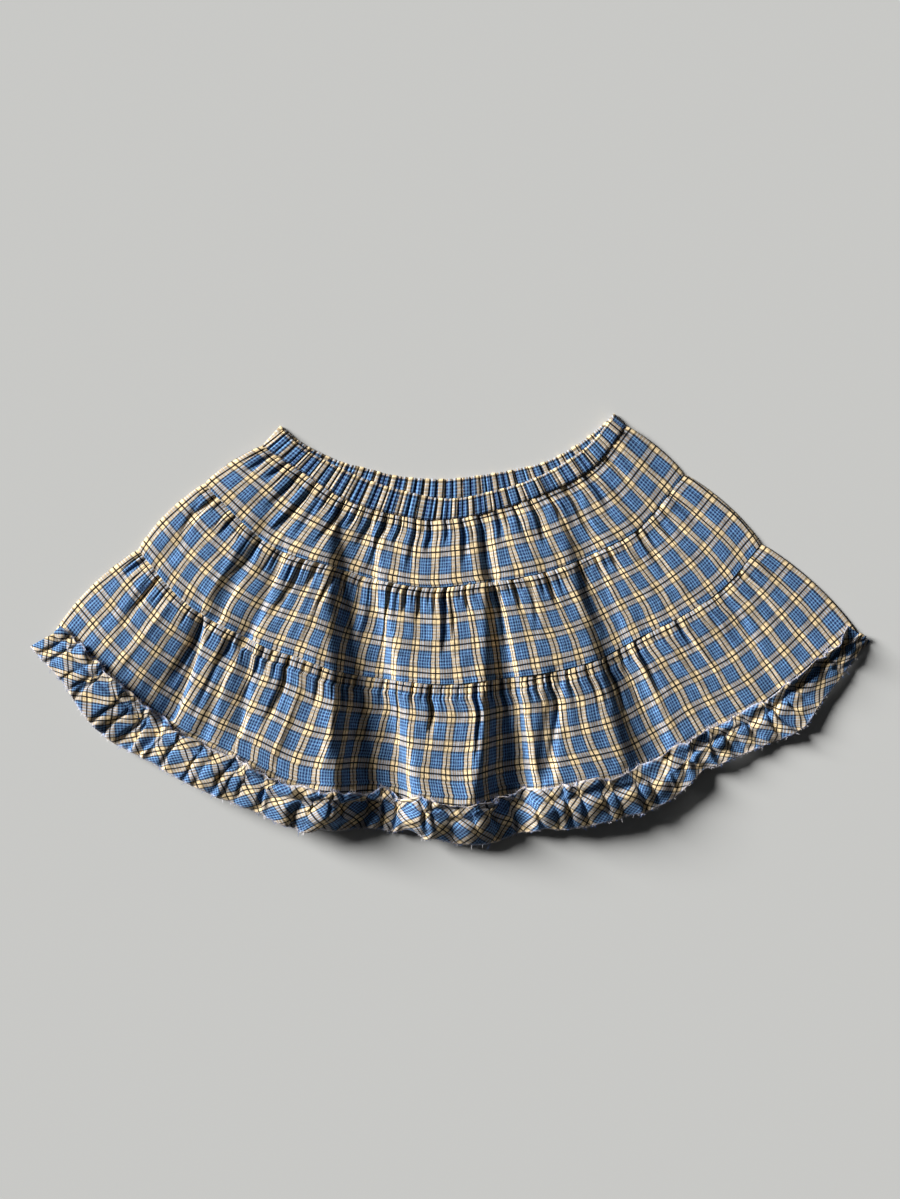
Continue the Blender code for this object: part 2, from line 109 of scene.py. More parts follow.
# Gathers below each seam of the front: x at the seam (mm), strength, reach down the tier (mm)
WAIST_GATHERS = [
    (-168, 1.8, 30), (-155, 2.0, 22), (-141, 1.8, 40), (-127, 2.2, 60), (-113, 1.6, 20),
    (-100, 2.0, 45), (-86, 1.8, 24), (-72, 2.2, 34), (-60, 2.4, 66), (-46, 1.8, 28),
    (-33, 1.6, 50), (-20, 2.0, 30), (-5, 1.6, 22), (10, 2.0, 44), (27, 1.8, 60),
    (43, 2.0, 26), (59, 1.6, 30), (75, 2.2, 40), (92, 1.8, 24), (108, 2.4, 62),
    (126, 2.0, 36), (145, 1.8, 28)]
SEAM_1_GATHERS = [
    (-222, 2.2, 34), (-204, 1.6, 22), (-180, 2.2, 40), (-139, 2.4, 56), (-126, 2.2, 24),
    (-101, 1.4, 20), (-82, 2.2, 48), (-51, 2.4, 66), (-37, 2.0, 26), (-25, 1.8, 30),
    (-3, 2.4, 60), (15, 1.6, 24), (43, 2.4, 60), (61, 1.8, 28), (91, 2.0, 34),
    (122, 2.0, 30), (149, 1.8, 26), (176, 2.2, 44), (192, 2.0, 28), (206, 1.8, 36)]
SEAM_2_GATHERS = [
    (-289, 2.0, 30), (-275, 2.2, 54), (-234, 2.6, 70), (-204, 1.8, 30), (-174, 2.2, 48),
    (-151, 2.2, 64), (-123, 1.8, 30), (-101, 1.8, 34), (-89, 2.0, 22), (-63, 1.8, 40),
    (-44, 2.2, 56), (-28, 1.4, 20), (-13, 2.4, 40), (27, 2.4, 66), (41, 1.8, 24),
    (54, 2.0, 34), (68, 1.8, 60), (89, 1.8, 26), (101, 2.2, 50), (117, 1.8, 28),
    (134, 1.6, 36), (153, 2.2, 48), (166, 1.8, 22), (180, 2.0, 60), (217, 1.8, 34),
    (257, 2.2, 52), (273, 2.0, 26), (286, 1.8, 34)]

# Creases of the front: x0, y0, x1, y1, x2, y2, half width, height (mm); a height under 0 is a
# valley
CREASES = [
    (-3, 40, 2, 12, -1, -20, 2.0, -1.3),
    (-13, -57, -18, -76, -20, -96, 2.2, -1.4),
    (100, -43, 97, -90, 88, -134, 2.6, -1.5),
    (-78, 44, -84, 10, -96, -30, 4.0, 1.6),
    (-108, -50, -112, -90, -122, -140, 4.5, 1.7),
    (-140, -46, -152, -80, -170, -128, 3.4, 1.5),
    (22, -52, 28, -90, 24, -150, 3.6, 1.5),
    (150, -40, 166, -70, 190, -112, 4.0, 1.3),
    (200, -10, 224, -40, 262, -84, 3.6, 1.2),
    (112, 50, 126, 20, 150, -14, 4.0, 1.3),
    (-196, 84, -214, 56, -236, 20, 3.2, 1.2),
    (-262, 28, -284, 2, -318, -42, 3.6, 1.4),
    (244, 70, 262, 56, 280, 46, 3.2, 1.0),
    (150, 120, 168, 100, 184, 92, 3.6, 1.0),
    (-120, 44, -131, 18, -146, -14, 1.7, 1.2),
    (-106, 58, -119, 36, -134, 12, 2.2, -1.5),
    (217, 12, 236, -20, 262, -52, 1.8, 1.1),
    (-49, 42, -52, 28, -53, 12, 1.7, -1.3),
    (-25, 40, -27, 24, -26, 8, 1.7, -1.2),
    (44, 46, 46, 28, 44, 8, 1.8, -1.4),
    (72, 48, 78, 26, 80, -4, 2.2, -1.2),
    (27, -49, 24, -68, 27, -90, 1.8, -1.4),
    (67, -44, 64, -62, 68, -84, 1.8, -1.4),
    (-101, -42, -104, -66, -112, -92, 2.0, -1.2),
    (-172, -20, -180, -44, -194, -74, 2.2, -1.6),
    (-149, -28, -156, -50, -166, -76, 2.0, -1.4),
    (-208, -2, -224, -40, -246, -88, 2.4, -1.6),
    (-180, 86, -188, 66, -200, 46, 2.0, -1.4),
    (-149, 68, -154, 50, -163, 28, 1.8, -1.3),
    (-239, 122, -248, 106, -258, 88, 2.0, -1.4),
    (-276, 60, -290, 40, -312, 12, 2.2, -1.5),
    (156, -20, 168, -48, 186, -86, 2.0, -1.2),
    (134, -28, 140, -50, 150, -74, 1.8, -1.2),
    (236, 26, 252, 4, 272, -24, 2.0, -1.3),
    (278, 52, 296, 28, 322, -2, 2.2, -1.3),
    (163, 88, 180, 66, 200, 40, 2.0, -1.2),
    (196, 120, 212, 100, 230, 82, 2.0, -1.2),
    (118, 64, 124, 44, 134, 20, 1.8, -1.2),
    (-60, 118, -62, 100, -60, 78, 1.8, -1.2),
    (-118, 132, -132, 112, -150, 86, 2.0, -1.3),
    (60, 120, 68, 98, 74, 72, 1.9, -1.2),
    (96, 128, 106, 104, 118, 78, 2.0, -1.2),
    (140, 150, 156, 132, 176, 112, 2.0, -1.1),
]

# Cloth of the shells (mm)
THICK = 0.5  # one layer of the real cotton
ON_BACK = CLOTH + SEAM_GAP
TUCK = 1.6  # how far a tier of the front runs up under its seam
BACK_LEVEL = 0.62  # middle of the back's cloth over the floor
CREASE_SCALE = 1.2
# The front's random bumps: height, how many times narrower than long, length, seed's step
RUMPLES = [(0.45, 1, 22, 0), (0.2, 1, 8, 50), (0.5, 4, 44, 70)]
GATHER_ANGLE = 1.5  # steepest wall of a gather, in radians
GATHER_HIDES = 0.6  # share of a gather's cloth that its fold hides
GATHER_SPREAD = 0.9  # how much wider a gather is at the foot of its tier
PROFILE_POINTS = 900  # along the relief that a row of cloth is laid on
MINOR_SPACING = 9.0  # widest stretch of seam with no gather in it
CUT_WIDTH = {"tier_1": 620.0, "tier_2": 820.0, "tier_3": 1040.0}
CUT_FALL = {"tier_1": 66.0, "tier_2": 96.0, "tier_3": 122.0}
BACK_FULLNESS = 1.06  # cut of a tier of the back, over the line at its foot
WAIST_FULLNESS = 1.5
WAIST_RIBS = 42
WAIST_STITCH_ROW = 2  # row of the waistband's points that its stitches follow

# The ruffle (mm)
RUFFLE_FALL = 36.0  # cloth below its stitch line
RUFFLE_FULLNESS = {"front": 1.2, "back": 1.1}
RUFFLE_GATHERS = {"front": 56, "back": 60}
BACK_SHOWN = 28.0  # depth of the back's ruffle below its hem
FRILL_FLOOR = ON_BACK + 1.0
HEADER_STEPS = 6  # rows of points in the header
HEADER_OVER = 2.2  # clearance of the header over the tier that carries it
HEADER_SWAY = 3.6  # how far the header's edge strays sideways
# Down the frill (mm): share left of the depth of its gathers, and height of the puffs between them
FRILL_PRESSED = [(0, 0.3), (3, 0.5), (10, 0.55), (36, 0.45)]
FRILL_PUFFS = [(0, 0.0), (3, 2.0), (9, 3.2), (22, 2.4), (36, 1.6)]
HEADER_PUFFS = [(0, 0.0), (0.3, 2.8), (0.65, 3.8), (1, 1.8)]  # at shares of the way up the header
# Down the cut strip (mm): how much longer it is than at its stitch line, and its place in the roll
STRIP_FLARE = [(-16, 1.28), (0, 1.0), (36, 1.03)]
STRIP_DEPTH = [(-16, -9.856), (0, 0), (36, 36)]
STRIP_TURN = 36.0  # radius of that roll
SIM_SCALE = 0.01  # Blender's units for a millimetre
SIM_FRAMES = 20
SIM_GRAVITY = 0.006  # share of the full weight, which its puffs can bear
SIM_CLEAR = 0.006  # (Blender's units)
CLOTH_FEEL = {"quality": 6, "mass": 0.15, "tension_stiffness": 15, "compression_stiffness": 15,
              "shear_stiffness": 6, "bending_stiffness": 0.12, "bending_damping": 1.0,
              "air_damping": 2.0}
# Loose threads of the raw edges: where, how many, the longest (mm), seed, how steeply they rise
PALE_FRAYS = [("header", 900, 4.0, 1, 0.2), ("hem", 700, 2.6, 2, 0.0), ("back", 200, 2.4, 3, 0.0)]
BLUE_FRAYS = [("header", 600, 4.6, 4, 0.2), ("hem", 400, 3.0, 5, 0.0)]

# The check: charted widths of the threads' colours across one repeat (mm)
REPEAT = [("cream", 3.55), ("ink", 1.4), ("cream", 3.55), ("navy", 1.8), ("sky", 1.2), ("blue", 1.65),
          ("sky", 1.2), ("blue", 1.65), ("sky", 1.2), ("blue", 1.65), ("sky", 1.2), ("blue", 1.65),
          ("sky", 1.2), ("navy", 1.75)]
REPEAT_WIDTH = sum(width for _, width in REPEAT)
DOWN_STRETCH = 26.8 / REPEAT_WIDTH  # a repeat is longer down the cloth than across it
THREADS = {"cream": (0.79, 0.6, 0.34), "ink": (0.012, 0.008, 0.006), "navy": (0.005, 0.008, 0.03),
           "blue": (0.007, 0.021, 0.095), "sky": (0.165, 0.35, 0.61)}
# How much light the threads leave to those that they cross
SHADED = {"cream": 1.0, "ink": 0.08, "navy": 0.6, "blue": 0.88, "sky": 0.88}
THREAD_PITCH = 0.5  # (mm)
DOWN_SHOWS = 0.61  # share of the threads that run down the cloth in its colour
WEAVE_SHOWS = 0.28  # how far the weave moves that share from thread to thread


# ---- Lines and positions

def smooth_line(points, steps=14):
    """Points along a Catmull-Rom curve through a table of points."""
    knots = np.array(points, float)
    ends = 2 * knots[[0, -1]] - knots[[1, -2]]
    knots = np.vstack([ends[:1], knots, ends[1:]])
    t = np.linspace(0, 1, steps, endpoint=False)[:, None]
    spans = []
    for a, b, c, d in zip(knots, knots[1:], knots[2:], knots[3:]):
        spans.append(b + 0.5 * t * (c - a + t * (2 * a - 5 * b + 4 * c - d
                                                 + t * (3 * (b - c) + d - a))))
    return np.vstack(spans + [knots[-2:-1]])


def length_along(line):
    """How far along a line each of its points is."""
    steps = np.linalg.norm(np.diff(line, axis=0), axis=1)
    return np.concatenate([[0], np.cumsum(steps)])


def at_share(line, share):
    """Points at given shares of a line's length, 0 at its left end and 1 at its right end."""
    along = length_along(line)
    return np.stack([np.interp(share * along[-1], along, line[:, i]) for i in (0, 1)], axis=-1)


def share_at_x(line, x):
    """The share of a line's length at which it passes x."""
    along = length_along(line)
    return np.interp(x, line[:, 0], along / along[-1])


def across(share):
    """-1 at the left side, 0 in the middle, 1 at the right side."""
    return 2 * share - 1


def unit(vectors):
    """The same vectors with a length of 1."""
    return vectors / np.maximum(np.linalg.norm(vectors, axis=-1, keepdims=True), 1e-9)


def from_table(place, table):
    """The value at a place, from a table of places and values."""
    return np.interp(place, *np.array(table, float).T)


def part_way(start, end, share):
    """The value a share of the way from a start to an end."""
    return start + (end - start) * share


def eased(share):
    """A share from 0 to 1 that starts and ends level."""
    return share * share * (3 - 2 * share)


def raised_back(line):
    """The line of the back that lies under a line of the front."""
    share = np.linspace(0, 1, 61)
    points = at_share(line, share)
    points[:, 1] += BACK_RISE * (1 - across(share) ** 2) ** 1.2
    return points


LINES = {"waist": WAIST, "casing": CASING_LINE, "seam_1": SEAM_1, "seam_2": SEAM_2, "hem": HEM,
         "edge": EDGE}
FRONT = {name: smooth_line(points) for name, points in LINES.items()}
BACK = {name: raised_back(line) for name, line in FRONT.items()}
BACK["waist"] = smooth_line(BACK_WAIST)
SIDES_SHAPE = smooth_line(CREST_LEFT)

TIERS = {"tier_1": ("casing", "seam_1", WAIST_GATHERS),
         "tier_2": ("seam_1", "seam_2", SEAM_1_GATHERS),
         "tier_3": ("seam_2", "hem", SEAM_2_GATHERS)}


def between(upper, lower, share, down, bulge=0.0):
    """Points between two lines, down from 0 to 1, where the sides swell out by the bulge."""
    top = at_share(upper, share)
    bottom = at_share(lower, share)
    points = top + (bottom - top) * down[..., None]
    near_sides = np.array([0.0, 0.04, 0.96, 1.0])
    ends = at_share(lower, near_sides) + at_share(upper, near_sides)
    outward = np.where(across(share)[..., None] < 0, unit(ends[0] - ends[1]), unit(ends[3] - ends[2]))
    swell = bulge * np.sin(np.pi * np.clip(down, 0, 1)) ** 0.7 * np.abs(across(share)) ** BULGE_ROUND
    return points + outward * swell[..., None]


# ---- Heights

def curve_through(spots, steps=40):
    """Points along the curve through a trough's or crease's start, middle and end."""
    start, middle, end = np.array(spots, float).reshape(3, 2)
    bend = 2 * middle - 0.5 * (start + end)
    t = np.linspace(0, 1, steps)[:, None]
    return start * (1 - t) ** 2 + bend * 2 * t * (1 - t) + end * t ** 2


def near_curve(points, path):
    """Distance of each point from a curve, how far along it that is, and if it is on its right."""
    heading = np.gradient(path, axis=0)
    apart = np.full(points.shape[:-1], np.inf)
    nearest = np.zeros(points.shape[:-1], int)
    for i, spot in enumerate(path):
        distance = np.hypot(points[..., 0] - spot[0], points[..., 1] - spot[1])
        closer = distance < apart
        apart = np.where(closer, distance, apart)
        nearest = np.where(closer, i, nearest)
    offset = points - path[nearest]
    heading = heading[nearest]
    on_right = heading[..., 0] * offset[..., 1] - heading[..., 1] * offset[..., 0] > 0
    # from the curve itself and not from the nearest of its points, where that is beside them
    heading = unit(heading)
    beside = np.abs(heading[..., 0] * offset[..., 1] - heading[..., 1] * offset[..., 0])
    inner = (nearest > 0) & (nearest < len(path) - 1)
    return np.where(inner, beside, apart), nearest / (len(path) - 1), on_right


def trough_depth(points):
    """How far all the long troughs lower the cloth at each point."""
    total = np.zeros(points.shape[:-1])
    for row in TROUGHS:
        left, right, left_end, right_end, depth, depth_end, left_steep, right_steep = row[6:]
        apart, along, on_right = near_curve(points, curve_through(row[:6]))
        half_width = np.where(on_right, part_way(right, right_end, along), part_way(left, left_end, along))
        steep = np.where(on_right, right_steep, left_steep)
        total += part_way(depth, depth_end, along) * np.exp(-(apart / half_width) ** steep)
    return total


def crease_height(points):
    """How far all the creases raise the cloth at each point."""
    total = np.zeros(points.shape[:-1])
    for row in CREASES:
        half_width, height = row[6:]
        apart, along, _ = near_curve(points, curve_through(row[:6]))
        profile = np.exp(-(apart / half_width) ** 2) * np.sin(np.pi * along) ** 0.6
        total += CREASE_SCALE * height * profile
    return total


def front_level(tier, share, down, points):
    """Height of the front before its gathers: its crest, less its troughs."""
    upper, lower, _ = TIERS[tier]
    rounding = from_table(across(share), SIDES_SHAPE)
    side = part_way(SIDE_LIFT[upper], SIDE_LIFT[lower], down)
    crest = part_way(CREST[upper], CREST[lower], down) - side
    swell = crest - trough_depth(points)
    swell = 0.5 * (swell + np.sqrt(swell ** 2 + 1.0)) * rounding
    return ON_BACK + side + swell


def flat_level(share, down, points):
    """Height of cloth that lies flat."""
    return np.zeros(share.shape)


def crumple(u, v, size, seed):
    """Smooth random heights from -1 to 1, with bumps one size apart (mm)."""
    rng = np.random.default_rng(seed)
    x = (u - u.min()) / size
    y = (v - v.min()) / size
    knots = rng.uniform(-1, 1, (int(y.max()) + 2, int(x.max()) + 2))
    column = np.minimum(x.astype(int), knots.shape[1] - 2)
    row = np.minimum(y.astype(int), knots.shape[0] - 2)
    fx = eased(x - column)
    fy = eased(y - row)
    top = knots[row, column] * (1 - fx) + knots[row, column + 1] * fx
    bottom = knots[row + 1, column] * (1 - fx) + knots[row + 1, column + 1] * fx
    return top * (1 - fy) + bottom * fy


def ripple(u, size, seed):
    """Smooth random heights from -1 to 1 along a line."""
    return crumple(u, u * 0, size, seed)


# ---- Gathered cloth

def place_gathers(line, table, cut, seed, minor=MINOR_SPACING):
    """Where each gather is in the cut cloth, how much cloth it takes, its reach and its lean.

    Small gathers fill the stretches of seam that the table leaves plain.
    """
    rng = np.random.default_rng(seed)
    along = length_along(line)[-1]
    rows = [(share_at_x(line, x) * along, strength, reach) for x, strength, reach in table]
    stops = [0.0] + [row[0] for row in rows] + [along]
    for start, end in zip(stops, stops[1:]):
        count = int((end - start) / minor)
        for i in range(count):
            place = start + (end - start) * (i + 1 + rng.uniform(-0.25, 0.25)) / (count + 1)
            rows.append((place, rng.uniform(0.4, 1.0), rng.uniform(9, 30)))
    place, strength, reach = np.array(sorted(rows)).T
    hidden = (cut - along) * strength / strength.sum()
    middle = place + np.cumsum(hidden) - hidden / 2
    half = np.maximum(0.5 * hidden / GATHER_HIDES, 1.0)
    return {"middle": middle, "half": half, "reach": reach,
            "lean": rng.uniform(-0.1, 0.3, len(place)), "drift": rng.uniform(-0.04, 0.04, len(place))}


def wall_slope(gathers, c, t, fall):
    """Slope of the cloth at each point, in radians, where gathers fold it, and their lean.

    A fold widens down the cloth, and all of them let the same share of their cloth go.
    """
    slope = np.zeros(c.shape)
    lean = np.zeros(c.shape)
    wider = 1 + GATHER_SPREAD * np.clip(t / fall, 0, 1)
    for k in range(len(gathers["middle"])):
        half = gathers["half"][k] * wider
        u = (c - gathers["middle"][k] - gathers["drift"][k] * t) / half
        inside = np.abs(u) < 1
        wave = np.where(inside, np.sin(np.pi * np.clip(u, -1, 1)), 0)
        slope += GATHER_ANGLE * np.sign(wave) * np.abs(wave) ** 0.8
        lean += gathers["lean"][k] * np.where(inside, 1 - u ** 2, 0)
    return np.clip(slope, -1.6, 1.6), lean


def fold_strength(gathers, c, t):
    """How much of each fold's depth is left at each point, from 0 to 1."""
    nearest = np.abs(c[..., None] - gathers["middle"]).argmin(axis=-1)
    return 1 - eased(np.clip(t / (1.35 * gathers["reach"][nearest]), 0, 1))


def puff(gathers, c):
    """0 at each gather and 1 half way between two of them."""
    middles = np.concatenate([[c.min() - 10], gathers["middle"], [c.max() + 10]])
    after = np.clip(np.searchsorted(middles, c), 1, len(middles) - 1)
    gap = middles[after] - middles[after - 1]
    share = (c - middles[after - 1]) / gap
    return np.sin(np.pi * np.clip(share, 0, 1)) ** 0.6 * np.clip(gap / 20, 0.3, 1.2)


def graded(length, fine, coarse, fine_at, reach):
    """Places along a length, close together within reach of some places and wider elsewhere."""
    sample = np.linspace(0, length, int(length * 8))
    near = np.zeros(len(sample))
    for place, width in zip(fine_at, reach):
        near = np.maximum(near, np.clip(1.6 - np.abs(sample - place) / width, 0, 1))
    step = coarse + (fine - coarse) * near
    total = np.concatenate([[0], np.cumsum(np.diff(sample) / step[1:])])
    return np.interp(np.linspace(0, total[-1], int(total[-1]) + 1), total, sample)


def fit_row(slope, steps, length):
    """Lays one row of cloth along a length; its gathers fold as far as that takes.

    Returns how far along each column lies, and the slope of its folds.
    """
    low = 0.0
    high = 1.35
    for _ in range(18):
        middle = 0.5 * (low + high)
        if (np.cos(middle * slope) * steps).sum() > length:
            low = middle
        else:
            high = middle
    used = 0.5 * (low + high) * slope
    along = np.cumsum(np.cos(used) * steps)
    along -= along[0]
    return along * length / along[-1], used


def lay_rows(upper, lower, c, t, down, fall, gathers, level_at=flat_level, bulge=0.0):
    """Lays gathered cloth between two lines, in rows at t down the cut and columns at c across it.

    Returns its plan points, base heights and gather heights, and each point's share across and down.
    """
    cut_columns, rows = np.meshgrid(c, t)
    steps = np.gradient(c)
    slope, lean = wall_slope(gathers, cut_columns, rows, fall)
    share = np.zeros(slope.shape)
    folds = np.zeros(slope.shape)
    along_line = np.linspace(0, 1, PROFILE_POINTS)
    for row, d in enumerate(down):
        spots = between(upper, lower, along_line, np.full(PROFILE_POINTS, d))
        profile = np.column_stack([spots, level_at(along_line, np.full(PROFILE_POINTS, d), spots)])
        arc = length_along(profile)
        along, used = fit_row(slope[row], steps, arc[-1])
        share[row] = np.interp(along, arc, along_line)
        folds[row] = np.cumsum(np.sin(used) * steps)
    folds -= folds[:, -1:] * (cut_columns - c[0]) / (c[-1] - c[0])
    down = np.repeat(down[:, None], len(c), axis=1)
    level = level_at(share, down, between(upper, lower, share, down, bulge))
    plan = length_along(between(upper, lower, along_line, np.full(PROFILE_POINTS, 0.5)))[-1]
    share = np.clip(share + lean * folds * 0.5 / plan, 0, 1)
    return between(upper, lower, share, down, bulge), level, folds, share, down


def turned_down(height, share, width, reach, foot):
    """Heights that come down to a foot in a quarter round within reach of the two sides."""
    inward = np.clip(np.minimum(share, 1 - share) * width / reach, 0, 1)
    return foot + (height - foot) * np.sqrt(1 - (1 - inward) ** 2)


def soft_floor(height, floor, softness=0.5):
    """Keeps heights above a floor, bending smoothly near it."""
    over = (height - floor) / softness
    return floor + softness * np.logaddexp(0, over)


# ---- Materials

class Nodes:
    """A small writer of a material's node tree."""

    def __init__(self, name):
        self.material = bpy.data.materials.new(name)
        self.material.use_nodes = True
        self.tree = self.material.node_tree
        self.shader = self.tree.nodes["Principled BSDF"]

    def add(self, kind, **settings):
        node = self.tree.nodes.new("ShaderNode" + kind)
        for name, value in settings.items():
            setattr(node, name, value)
        return node

    def link(self, source, target):
        if hasattr(source, "outputs"):
            source = source.outputs[0]
        if hasattr(source, "is_output"):
            self.tree.links.new(source, target)
        else:
            target.default_value = source

    def surface(self, values):
        for name, value in values.items():
            self.shader.inputs[name].default_value = value
        return self.material

    def math(self, operation, *values):
        node = self.add("Math", operation=operation)
        for value, socket in zip(values, node.inputs):
            self.link(value, socket)
        return node.outputs[0]

    def mix(self, factor, first, second, blend="MIX"):
        node = self.add("Mix", data_type="RGBA", blend_type=blend)
        self.link(factor, node.inputs["Factor"])
        self.link(first, node.inputs["A"])
        self.link(second, node.inputs["B"])
        return node.outputs["Result"]

    def bump(self, height, depth):
        node = self.add("Bump")
        node.inputs["Strength"].default_value = 0.35
        node.inputs["Distance"].default_value = depth * MM
        self.link(height, node.inputs["Height"])
        return node


def thread_colours(nodes, place, repeat):
    """The colour of the thread at a place along the cloth, and the light it leaves."""
    turns = nodes.math("FRACT", nodes.math("DIVIDE", place, repeat * MM))
    ramp = nodes.add("ValToRGB")
    ramp.color_ramp.interpolation = "CONSTANT"
    stops = ramp.color_ramp.elements
    start = 0.0
    for i, (name, width) in enumerate(REPEAT):
        stop = stops[i] if i < len(stops) else stops.new(start / REPEAT_WIDTH)
        stop.position = start / REPEAT_WIDTH
        stop.color = (*THREADS[name], SHADED[name])
        start += width
    nodes.link(turns, ramp.inputs[0])
    return ramp.outputs


def streaks(nodes, cloth, along_x, along_y, detail=2.0):
    """Fine streaks of noise, so that each thread has its own shade."""
    stretch = nodes.add("Mapping")
    stretch.inputs["Scale"].default_value = (along_x, along_y, 1.0)
    nodes.link(cloth, stretch.inputs["Vector"])
    noise = nodes.add("TexNoise", noise_dimensions="2D")
    noise.inputs["Scale"].default_value = 1.0
    noise.inputs["Detail"].default_value = detail
    nodes.link(stretch, noise.inputs["Vector"])
    return noise.outputs["Fac"]


def check_material(name, raw_edge=False):
    """Woven check cotton: the down and cross threads' colours, mixed by a plain weave."""
    nodes = Nodes(name)
    cloth = nodes.add("UVMap", uv_map="cloth")
    split = nodes.add("SeparateXYZ")
    nodes.link(cloth, split.inputs[0])
    u, v, _ = split.outputs
    warp = thread_colours(nodes, u, REPEAT_WIDTH)
    weft = thread_colours(nodes, v, REPEAT_WIDTH * DOWN_STRETCH)
    wave = np.pi / (THREAD_PITCH * MM)
    weave = nodes.math("MULTIPLY", nodes.math("SINE", nodes.math("MULTIPLY", u, wave)),
                       nodes.math("SINE", nodes.math("MULTIPLY", v, wave)))
    share = nodes.math("MULTIPLY_ADD", weave, WEAVE_SHOWS, DOWN_SHOWS)
    colour = nodes.mix(share, weft["Color"], warp["Color"])
    covered = nodes.math("MINIMUM", weft["Alpha"], warp["Alpha"])
    shade = nodes.math("ADD", streaks(nodes, cloth, 1400, 60), streaks(nodes, cloth, 60, 1400))
    shade = nodes.math("MULTIPLY_ADD", shade, 1.5, -0.56)
    faded = streaks(nodes, cloth, 22, 22, 4.0)
    shade = nodes.math("MULTIPLY", shade, nodes.math("MULTIPLY_ADD", faded, 0.24, 0.88))
    shade = nodes.math("MULTIPLY", shade, covered)
    grey = nodes.add("CombineColor")
    for socket in grey.inputs:
        nodes.link(shade, socket)
    colour = nodes.mix(1.0, colour, grey.outputs[0], "MULTIPLY")
    if raw_edge:
        edge = nodes.add("Attribute", attribute_name="raw_edge")
        ragged = nodes.math("MULTIPLY_ADD", streaks(nodes, cloth, 900, 900), 1.6, -0.35)
        fuzz = nodes.math("MULTIPLY", edge.outputs["Fac"], ragged)
        fuzz.node.use_clamp = True
        colour = nodes.mix(fuzz, colour, (0.66, 0.62, 0.66, 1.0))
    nodes.link(colour, nodes.shader.inputs["Base Color"])
    slub = nodes.math("MULTIPLY_ADD", weave, 0.5, nodes.math("MULTIPLY", shade, 0.8))
    woven = nodes.bump(slub, 0.2)
    creased = nodes.bump(streaks(nodes, cloth, 170, 120, 4.0), 0.8)
    nodes.link(woven, creased.inputs["Normal"])
    nodes.link(creased, nodes.shader.inputs["Normal"])
    return nodes.surface({"Roughness": 0.88, "Specular IOR Level": 0.25, "Sheen Weight": 0.08,
                          "Sheen Roughness": 0.5})


def thread_material(name, light, dark):
    """Matt sewing or frayed thread, lighter and darker in places."""
    nodes = Nodes(name)
    place = nodes.add("NewGeometry")
    noise = nodes.add("TexNoise")
    noise.inputs["Scale"].default_value = 260
    nodes.link(place.outputs["Position"], noise.inputs["Vector"])
    strength = nodes.math("MULTIPLY_ADD", noise.outputs["Fac"], 2.4, -0.7)
    strength.node.use_clamp = True
    nodes.link(nodes.mix(strength, (*light, 1.0), (*dark, 1.0)), nodes.shader.inputs["Base Color"])
    return nodes.surface({"Roughness": 0.9, "Specular IOR Level": 0.2})


def floor_material():
    """Matt pale grey."""
    return Nodes("pale_floor").surface({"Base Color": (0.478, 0.478, 0.464, 1.0), "Roughness": 0.95,
                                        "Specular IOR Level": 0.1})


# ---- Meshes

def add_object(name, data, material=None):
    """An object in the scene, from its data and a mesh's material."""
    if material:
        data.materials.append(material)
    thing = bpy.data.objects.new(name, data)
    bpy.context.scene.collection.objects.link(thing)
    return thing


def grid_mesh(name, points, scale):
    """A mesh from a grid of points (mm), and the corners of its faces."""
    rows, columns = points.shape[:2]
    index = np.arange(rows * columns).reshape(rows, columns)
    faces = np.stack([index[:-1, :-1], index[1:, :-1], index[1:, 1:], index[:-1, 1:]], axis=-1)
    faces = faces.reshape(-1, 4)
    mesh = bpy.data.meshes.new(name)
    mesh.from_pydata((points.reshape(-1, 3) * scale).tolist(), [], faces.tolist())
    return mesh, faces


def add_sheet(name, points, cloth, material, raw_edge=None):
    """A sheet of cloth from a grid of points (mm), with its place in the cut cloth as its UVs."""
    mesh, faces = grid_mesh(name, points, MM)
    layer = mesh.uv_layers.new(name="cloth")
    places = (cloth.reshape(-1, 2) * MM)[faces.ravel()]
    layer.uv.foreach_set("vector", places.astype(np.float32).ravel())
    if raw_edge is not None:
        attribute = mesh.attributes.new("raw_edge", "FLOAT", "POINT")
        attribute.data.foreach_set("value", raw_edge.astype(np.float32).ravel())
    piece = add_object(name, mesh, material)
    mesh.shade_smooth()
    wall = piece.modifiers.new("thickness", "SOLIDIFY")
    wall.thickness = THICK * MM
    wall.offset = 0.0
    return piece


def add_threads(name, paths, radius, material):
    """Threads as three-sided tubes along paths, an array of (thread, point, 3) in mm."""
    count, steps = paths.shape[:2]
    heading = unit(np.gradient(paths, axis=1))
    side = unit(np.cross(heading, [0.31, 0.22, 0.92]))
    other = np.cross(heading, side)
    angles = np.arange(3) * 2 * np.pi / 3
    taper = np.ones(steps)
    taper[-1] = 0.35
    ring = (side[:, :, None] * np.cos(angles)[:, None] + other[:, :, None] * np.sin(angles)[:, None])
    points = paths[:, :, None] + ring * (radius * taper)[None, :, None, None]
    index = np.arange(count * steps * 3).reshape(count, steps, 3)
    following = np.roll(index, -1, axis=2)
    quads = np.stack([index[:, :-1], following[:, :-1], following[:, 1:], index[:, 1:]], axis=-1)
    ends = np.concatenate([index[:, 0, ::-1], index[:, -1]])
    mesh = bpy.data.meshes.new(name)
    mesh.from_pydata((points.reshape(-1, 3) * MM).tolist(), [],
                     quads.reshape(-1, 4).tolist() + ends.tolist())
    return add_object(name, mesh, material)


# ---- Pieces

